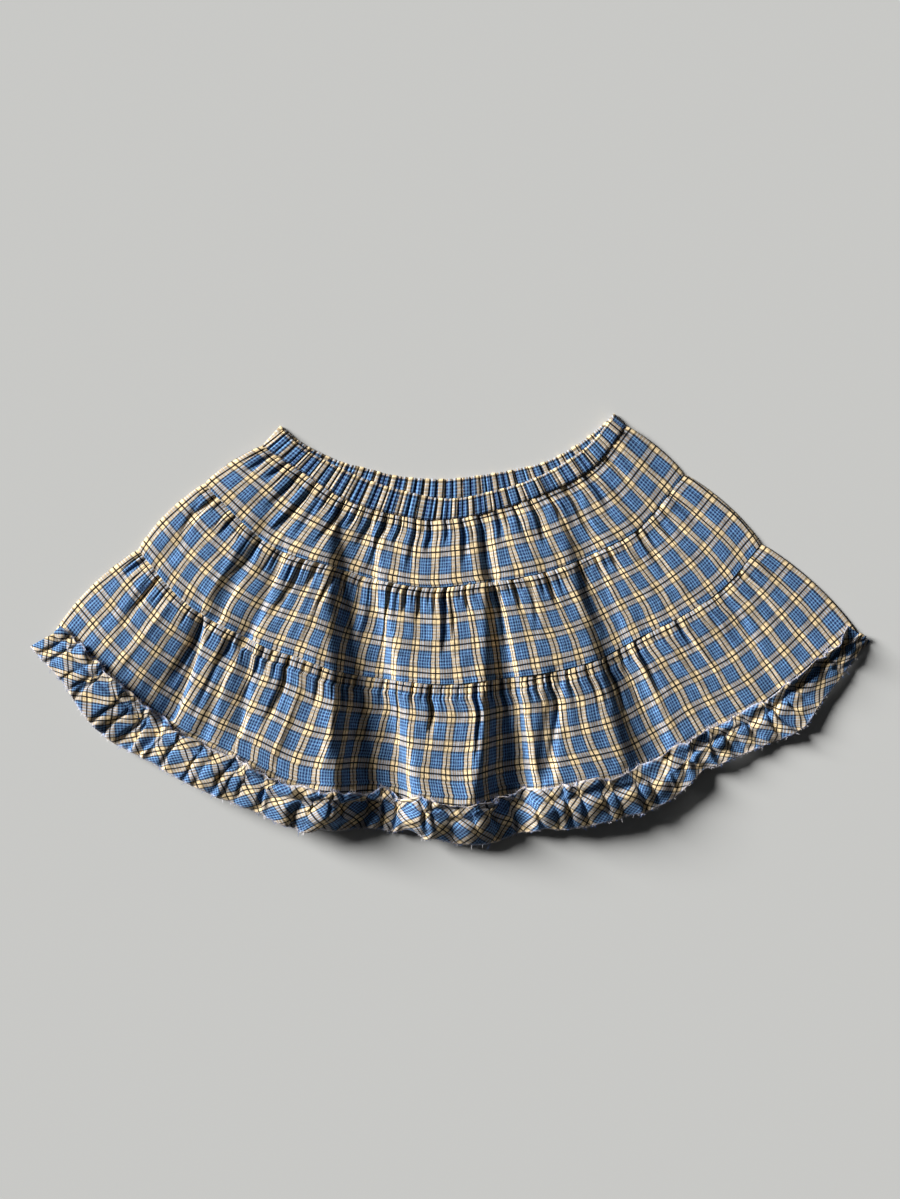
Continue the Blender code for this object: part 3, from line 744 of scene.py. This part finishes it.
def front_tier(tier, material, seed):
    """A tier of the front: gathered below its seam, then folded, creased and rumpled."""
    upper, lower, table = TIERS[tier]
    cut = CUT_WIDTH[tier]
    fall = CUT_FALL[tier]
    gathers = place_gathers(FRONT[upper], table, cut, seed)
    fine_until = 14
    c = np.linspace(0, cut, int(cut / 1.15))
    t = np.concatenate([np.arange(-TUCK, fine_until, 1.4),
                        np.linspace(fine_until, fall - 3, int((fall - 3 - fine_until) / 2.9)),
                        [fall - 1.8, fall - 0.9, fall]])
    points, level, folds, share, _ = lay_rows(
        FRONT[upper], FRONT[lower], c, t, t / fall, fall, gathers,
        lambda s, d, p: front_level(tier, s, d, p), SIDE_BULGE[tier])
    columns, rows = np.meshgrid(c, t)
    pressed = np.clip(0.3 + 0.7 * rows / 6, 0.2, 1)
    lift = 0.9 * np.clip(rows / 12, 0, 1) * np.exp(-np.clip(rows, 0, None) / 40)
    kept = fold_strength(gathers, columns, rows)
    height = level + folds * pressed * kept + lift + crease_height(points)
    for rumple, squeeze, apart, step in RUMPLES:
        height += rumple * crumple(columns * squeeze, rows, apart, seed + step)
    height -= 1.1 * np.clip(1 - rows / 3.0, 0, 1)
    height = soft_floor(height, ON_BACK + THICK / 2)
    height = turned_down(height, share, cut, reach=2.5, foot=0.9)
    off_grain = np.dstack([columns + 1.3 * crumple(columns, rows, 34, seed + 60),
                           rows + 1.1 * crumple(columns, rows, 40, seed + 61)])
    grid = np.dstack([points, height])
    return add_sheet(tier + "_cloth_front", grid, off_grain, material), (cut, fall + TUCK), grid


def back_tier(tier, material, seed):
    """A tier of the back, pressed flat on the floor."""
    upper, lower, table = TIERS[tier]
    cut = length_along(BACK[lower])[-1] * BACK_FULLNESS
    fall = CUT_FALL[tier]
    mirrored = [(-x, strength, reach) for x, strength, reach in table[::-1]]
    gathers = place_gathers(BACK[upper], mirrored, cut, seed)
    c = graded(cut, 1.8, 4.5, gathers["middle"], gathers["half"])
    t = np.concatenate([[0.2], np.arange(2.5, 20, 2.5), np.linspace(20, fall - 0.2, int(fall / 6))])
    points, _, folds, _, _ = lay_rows(
        BACK[upper], BACK[lower], c, t, t / fall, fall, gathers, bulge=SIDE_BULGE[tier])
    columns, rows = np.meshgrid(c, t)
    grid = pressed_flat(points, folds, 0.12 * crumple(columns, rows, 16, seed))
    piece = add_sheet(tier + "_cloth_back", grid, np.dstack([columns, rows]), material)
    return piece, (cut, fall), grid


def pressed_flat(points, folds, bumps):
    """The grid of points of cloth that the front presses on the floor."""
    height = BACK_LEVEL + 0.1 * np.clip(folds, -3, 1) + bumps
    return np.dstack([points, np.clip(height, THICK / 2, CLOTH)])


def even_gathers(line, cut, count, seed, minor=MINOR_SPACING, uneven=0.5):
    """Gathers of uneven strength, all along a line."""
    rng = np.random.default_rng(seed)
    places = (np.arange(count) + 0.5 + 0.6 * uneven * rng.uniform(-1, 1, count)) / count
    xs = at_share(line, places)[:, 0]
    table = [(x, rng.uniform(1 - uneven, 1 + uneven), 90) for x in xs]
    return place_gathers(line, table, cut, seed, minor)


def casing(side, lines, base, seed, material):
    """A waistband: cloth folded over the elastic, ribbed by its gathers, and sewn at its foot."""
    top_length = length_along(lines["waist"])[-1]
    cut = top_length * WAIST_FULLNESS
    gathers = even_gathers(lines["waist"], cut, WAIST_RIBS, seed)
    c = graded(cut, 0.75, 1.6, gathers["middle"], gathers["half"])
    sample = np.linspace(0, 1, 50)
    rise = np.median(np.linalg.norm(
        at_share(lines["waist"], sample) - at_share(lines["casing"], sample), axis=1))
    fold = CASING / 2
    up = np.concatenate([[0, 0.7, 1.5, 2.6], np.linspace(4, rise - 2.2, 10),
                         rise - fold + fold * np.sin(np.radians([0, 25, 45, 65, 80, 90]))])
    half = fold * np.clip(0.3 + 0.7 * up / 4, 0, 1)
    half = half * np.sqrt(1 - np.clip((up - (rise - fold)) / fold, 0, 1) ** 2)
    points, _, folds, share, _ = lay_rows(
        lines["waist"], lines["casing"], c, up * 0, 1 - up / rise, rise, gathers)
    columns, rows = np.meshgrid(c, up)
    rib = np.clip(folds, -4.5, 0.4) * 0.8 + 0.9 * puff(gathers, columns)
    steady = 0.45 + 0.55 * np.clip(rows / 4, 0, 1)
    middle = base + fold
    upper_face = middle + half[:, None] + rib * steady + 0.3
    upper_face += 0.18 * crumple(columns, rows, 5, seed)
    lower_face = middle - half[:, None] - 0.15 * rib
    scallop = (rib + 1.0) * 0.55 * np.clip((rows - 8) / 10, 0, 1)
    outward = unit(at_share(lines["waist"], share[-1]) - at_share(lines["casing"], share[-1]))
    points = points + outward[None] * scallop[..., None]
    foot = CASING + 0.1 if base else CASING
    upper_face = turned_down(upper_face, share, top_length, reach=4.0, foot=foot)
    inner_face = np.dstack([points, np.minimum(lower_face, upper_face - 0.3)])[::-1][1:]
    grid = np.concatenate([np.dstack([points, upper_face]), inner_face])
    grid[..., 2] = np.maximum(grid[..., 2], THICK / 2)
    depth = np.concatenate([-up, -(2 * up[-1] - up[::-1][1:])])
    piece = add_sheet("waistband_cloth_" + side, grid, np.dstack(np.meshgrid(c, depth)), material)
    return piece, (cut, 2 * up[-1]), grid


def turned(c, t):
    """Places in the bias strip, whose grain lies at 45 degrees."""
    return np.dstack([(c + t) * np.sqrt(0.5), (t - c) * np.sqrt(0.5)])


def ground_below_ruffle():
    """What the ruffle can touch: the last tier down to its hem, and then the back's ruffle."""
    share = np.linspace(0, 1, 320)
    rows = []
    for down in (0.35, 0.5, 0.62, 0.72, 0.82, 0.9, 0.96, 1.0):
        down = np.full(share.shape, down)
        points = between(FRONT["seam_2"], FRONT["hem"], share, down)
        rows.append(np.column_stack([points, front_level("tier_3", share, down, points) + 1.0]))
    for down in (0.1, 0.5, 1.0, 1.5):
        points = between(FRONT["hem"], FRONT["edge"], share, np.full(share.shape, down))
        rows.append(np.column_stack([points, np.full(share.shape, ON_BACK)]))
    return np.array(rows)


def settle(start, flat, pinned, ground):
    """Lets a sheet of cloth settle from a starting shape, with the lengths of its flat cut."""
    scene = bpy.context.scene
    rows, columns = start.shape[:2]
    sheet = add_object("settling", grid_mesh("settling", start, SIM_SCALE)[0])
    sheet.shape_key_add(name="start")
    cut = sheet.shape_key_add(name="cut")
    cut.data.foreach_set("co", (flat * SIM_SCALE).ravel())
    group = sheet.vertex_groups.new(name="stitched")
    group.add(list(range(pinned * columns, (pinned + 1) * columns)), 1.0, "REPLACE")
    support = add_object("ground", grid_mesh("ground", ground, SIM_SCALE)[0])
    support.modifiers.new("collision", "COLLISION")
    support.collision.thickness_outer = 0.004
    support.collision.cloth_friction = 20
    cloth = sheet.modifiers.new("cloth", "CLOTH")
    settings = cloth.settings
    settings.rest_shape_key = cut
    settings.vertex_group_mass = "stitched"
    for name, value in CLOTH_FEEL.items():
        setattr(settings, name, value)
    settings.effector_weights.gravity = SIM_GRAVITY
    cloth.collision_settings.distance_min = SIM_CLEAR
    cloth.collision_settings.use_self_collision = True
    cloth.collision_settings.self_distance_min = SIM_CLEAR
    cloth.point_cache.frame_end = SIM_FRAMES
    scene.frame_end = SIM_FRAMES
    for frame_number in range(1, SIM_FRAMES + 1):
        scene.frame_set(frame_number)
    evaluated = sheet.evaluated_get(bpy.context.evaluated_depsgraph_get())
    settled = np.empty(rows * columns * 3)
    evaluated.data.vertices.foreach_get("co", settled)
    bpy.data.objects.remove(sheet, do_unlink=True)
    bpy.data.objects.remove(support, do_unlink=True)
    scene.frame_set(1)
    return settled.reshape(rows, columns, 3) / SIM_SCALE


def frill_level(share, down):
    """How high the front's frill lies, from its stitch line on the last tier to its raw edge."""
    foot = np.ones(share.shape)
    hem_points = between(FRONT["seam_2"], FRONT["hem"], share, foot)
    stitched = front_level("tier_3", share, foot, hem_points) + CLOTH + 0.6
    left = np.interp(down, [0, 0.5, 1], [1, HEM_LEFT["middle"], HEM_LEFT["edge"]])
    left = left + (1 - left) * SIDES_HOLD * np.abs(across(share)) ** HOLD_SPREAD
    return FRILL_FLOOR + (stitched - FRILL_FLOOR) * left


def ruffle_header(c, share, puffs, to_right, seed):
    """The header's rows of points, from its raw edge down, and where they are in the cut strip."""
    low = HEADER_LOW * np.exp(-((across(share) - 0.02) / 0.06) ** 2)
    tall = (1.1 + 0.25 * ripple(c, 13, seed + 2)) * (HEADER - low)
    line_length = length_along(FRONT["seam_2"])[-1]
    steps = range(HEADER_STEPS, 0, -1)
    rows = []
    for step in steps:
        k = step / HEADER_STEPS
        up = 1 - tall * k / CUT_FALL["tier_3"]
        sway = HEADER_SWAY * k * ripple(c, 11, seed + 6)
        aside = np.clip(share + sway / line_length, 0, 1)
        spots = between(FRONT["seam_2"], FRONT["hem"], aside, up)
        swell = puffs * from_table(k, HEADER_PUFFS) + 2.6 * k * ripple(c, 6.5, seed + 5)
        swell = swell + 1.2 * ripple(c, 6, seed + 7 + step)
        height = front_level("tier_3", aside, up, spots) + HEADER_OVER + swell * (1 - 0.75 * to_right)
        rows.append(np.column_stack([spots, height]))
    return np.array(rows), -np.outer(np.array(steps) / HEADER_STEPS, tall)


def cut_strip(c, depth, to_right):
    """The strip's cut, rolled up: longer at its raw edges, as bias cloth is, so that they curl."""
    flare = from_table(depth, STRIP_FLARE)
    flare = np.where(depth < 0, 1 + (flare - 1) * (1 - 0.6 * to_right), flare)
    radius = STRIP_TURN * flare
    angle = c[None] / STRIP_TURN
    return np.dstack([radius * np.cos(angle), radius * np.sin(angle), -from_table(depth, STRIP_DEPTH)])


def front_ruffle(material, seed):
    """The bias strip: its header lies on the last tier, and its frill runs past the hem."""
    cut = length_along(FRONT["edge"])[-1] * RUFFLE_FULLNESS["front"]
    gathers = even_gathers(FRONT["hem"], cut, RUFFLE_GATHERS["front"], seed, minor=60.0, uneven=0.85)
    c = np.linspace(0, cut, int(cut / 2.5))
    t = np.linspace(0, RUFFLE_FALL, 14)
    points, _, folds, share, down = lay_rows(
        FRONT["hem"], FRONT["edge"], c, t, t / RUFFLE_FALL, RUFFLE_FALL, gathers)
    columns, rows = np.meshgrid(c, t)
    to_right = np.clip(across(share) / 0.5, 0, 1)
    puffs = puff(gathers, c) * (1 + 0.7 * ripple(c, 24, seed + 8))
    height = frill_level(share, down) + puffs * from_table(rows, FRILL_PUFFS)
    height += folds * from_table(rows, FRILL_PRESSED) * (1 - 0.5 * to_right)
    height += 0.9 * crumple(columns, rows, 10, seed)
    height += 1.5 * crumple(columns, rows, 19, seed + 11) * np.clip(rows / 8, 0, 1)
    height += 2.5 * to_right * rows / RUFFLE_FALL
    frill = np.dstack([points, np.maximum(height, FRILL_FLOOR)])
    header, header_depth = ruffle_header(c, share[0], puffs, to_right[0], seed)
    depth = np.concatenate([header_depth, rows])
    grid = settle(np.concatenate([header, frill]), cut_strip(c, depth, to_right[0]),
                  HEADER_STEPS, ground_below_ruffle())
    raw = np.zeros(depth.shape)
    raw[[0, -1]] = 1
    piece = add_sheet("ruffle_cloth_front", grid, turned(np.broadcast_to(c, depth.shape), depth),
                      material, raw)
    finer = piece.modifiers.new("finer", "SUBSURF")
    finer.render_levels = 1
    piece.modifiers.move(1, 0)
    return piece, (cut, RUFFLE_FALL + HEADER), grid


def back_ruffle(material, seed):
    """The frill of the back, flat on the floor, with a ragged raw edge."""
    cut = length_along(BACK["edge"])[-1] * RUFFLE_FULLNESS["back"]
    gathers = even_gathers(BACK["hem"], cut, RUFFLE_GATHERS["back"], seed)
    c = np.linspace(0, cut, int(cut / 2.4))
    t = np.linspace(0.3, RUFFLE_FALL - 2, 12)
    points, _, folds, share, _ = lay_rows(
        BACK["hem"], BACK["edge"], c, t, t / (RUFFLE_FALL + 1), RUFFLE_FALL, gathers)
    columns, rows = np.meshgrid(c, t)
    grid = pressed_flat(points, folds, 0.15 * crumple(columns, rows, 9, seed))
    inwards = unit(at_share(BACK["hem"], share[-1]) - at_share(BACK["edge"], share[-1]))
    ragged = np.abs(1.6 * ripple(c, 14, seed + 9)) * (t[:, None] / t[-1]) ** 2
    grid[..., :2] += inwards[None] * ragged[..., None]
    raw = np.zeros(grid.shape[:2])
    raw[-1] = 1
    piece = add_sheet("ruffle_cloth_back", grid, turned(columns, rows), material, raw)
    return piece, (cut, BACK_SHOWN), grid


def frayed(edge, inner, count, longest, seed, lift):
    """Paths of loose threads that stick out of a raw edge."""
    rng = np.random.default_rng(seed)
    place = rng.integers(1, len(edge) - 1, count)
    outward = unit(edge[place] - inner[place])
    along = unit(edge[place + 1] - edge[place - 1])
    length = longest * rng.uniform(0.25, 1, count) ** 2
    lean = rng.normal(0, 0.8, count)[:, None]
    rise = rng.normal(lift, 0.35, count)[:, None] * [[0, 0, 1.0]]
    first = unit(outward + lean * along + rise)
    bend = rng.normal(0, 0.5, (count, 3))
    steps = np.linspace(0, 1, 4)
    start = edge[place] - 0.3 * outward
    paths = start[:, None] + length[:, None, None] * (
        first[:, None] * steps[:, None] + bend[:, None] * (steps ** 2)[:, None])
    paths[..., 2] = np.maximum(paths[..., 2], 0.25)
    return paths


def stitches(line, length, gap, raise_by):
    """Paths of the stitches along a line of points, each a low arch."""
    along = length_along(line)
    starts = np.arange(1.0, along[-1] - length, length + gap)
    places = starts[:, None] + np.linspace(0, length, 4)
    paths = np.stack([np.interp(places, along, line[:, i]) for i in range(3)], axis=-1)
    paths[:, 1:-1, 2] += raise_by
    return paths


def sew_on(front, back, band):
    """The frayed threads of both ruffles' raw edges, and the stitches of the ruffle and the waist."""
    navy = thread_material("navy_sewing_thread", (0.05, 0.08, 0.2), (0.02, 0.03, 0.09))
    pale = thread_material("pale_frayed_thread", (0.75, 0.7, 0.66), (0.45, 0.45, 0.55))
    blue = thread_material("blue_frayed_thread", (0.1, 0.18, 0.4), (0.03, 0.06, 0.2))
    edges = {"header": front[:2], "hem": front[:-3:-1], "back": back[:-3:-1]}
    pale_paths, blue_paths = (np.concatenate([frayed(*edges[edge], *row) for edge, *row in table])
                              for table in (PALE_FRAYS, BLUE_FRAYS))
    ruffle_paths = stitches(front[HEADER_STEPS] + [0, 0, 0.5], length=2.4, gap=0.9, raise_by=0.45)
    waist_paths = stitches(band[WAIST_STITCH_ROW] + [0, 0, 0.15], length=2.2, gap=0.8, raise_by=0.35)
    for name, paths, radius, material in (("pale_threads", pale_paths, 0.16, pale),
                                          ("blue_threads", blue_paths, 0.17, blue),
                                          ("ruffle_stitching", ruffle_paths, 0.22, navy),
                                          ("waist_stitching", waist_paths, 0.2, navy)):
        piece = add_threads(name, paths, radius, material)
        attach(piece, "root")


def dress():
    """All the cloth, each piece with the solid that it stands for, and its sewing."""
    check = check_material("check_cotton_weave")
    bias = check_material("bias_ruffle_weave", raw_edge=True)
    made = {}
    for tier, seed in (("tier_1", 11), ("tier_2", 12), ("tier_3", 13)):
        made[tier + "_back"] = (*back_tier(tier, check, seed + 20), ["floor"])
        made[tier + "_front"] = (*front_tier(tier, check, seed), [tier + "_back"])
    made["waistband_back"] = (*casing("back", BACK, 0.0, 31, check), ["floor"])
    made["waistband_front"] = (*casing("front", FRONT, CASING + SEAM_GAP, 32, check), ["waistband_back"])
    made["hem_ruffle_back"] = (*back_ruffle(bias, 41), ["floor"])
    made["hem_ruffle_front"] = (*front_ruffle(bias, 42), ["tier_3_front", "hem_ruffle_back"])
    for node, (piece, flat, _, rests_on) in made.items():
        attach(piece, "root")
        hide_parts(node)
    sew_on(*(made[node][2] for node in ("hem_ruffle_front", "hem_ruffle_back", "waistband_front")))


# ---- Stage

VIEW_CENTRE = (-0.0014, 0.0285)  # the photograph's middle, on the floor (m)
VIEW_HEIGHT = 1.139  # length of floor from the photograph's bottom to its top (m)
LENS = 50.0
SENSOR = 36.0
SUN_FROM = (154, 22)  # azimuth and elevation of the light (degrees)
SUN_STRENGTH = 9.8
SUN_WIDTH = 24  # (degrees)
ROOM_LIGHT = 0.04
FLOOR_REACH = 4.0  # (m)


def direction(azimuth, elevation):
    """The direction of a place seen at an azimuth and an elevation (degrees)."""
    a = np.radians(azimuth)
    e = np.radians(elevation)
    return Vector((np.cos(e) * np.cos(a), np.cos(e) * np.sin(a), np.sin(e)))


def set_stage():
    """The floor, the camera above it, and soft light from the side."""
    reach = FLOOR_REACH
    mesh = bpy.data.meshes.new("floor")
    mesh.from_pydata([(-reach, -reach, 0), (reach, -reach, 0), (reach, reach, 0), (-reach, reach, 0)],
                     [], [(0, 1, 2, 3)])
    floor = add_object("floor", mesh, floor_material())

    camera = bpy.data.cameras.new("camera")
    camera.lens = LENS
    camera.sensor_width = SENSOR
    eye = add_object("camera", camera)
    eye.location = (*VIEW_CENTRE, VIEW_HEIGHT * LENS / SENSOR)
    bpy.context.scene.camera = eye

    lamp = bpy.data.lights.new("window_light", "SUN")
    lamp.energy = SUN_STRENGTH
    lamp.angle = np.radians(SUN_WIDTH)
    light = add_object("window_light", lamp)
    light.rotation_euler = direction(*SUN_FROM).to_track_quat("Z", "Y").to_euler()

    world = bpy.data.worlds.new("room")
    bpy.context.scene.world = world
    world.use_nodes = True
    background = world.node_tree.nodes["Background"]
    background.inputs["Color"].default_value = (0.93, 0.96, 1.0, 1.0)
    background.inputs["Strength"].default_value = ROOM_LIGHT
    bpy.context.scene.view_settings.view_transform = "Standard"


set_stage()
dress()
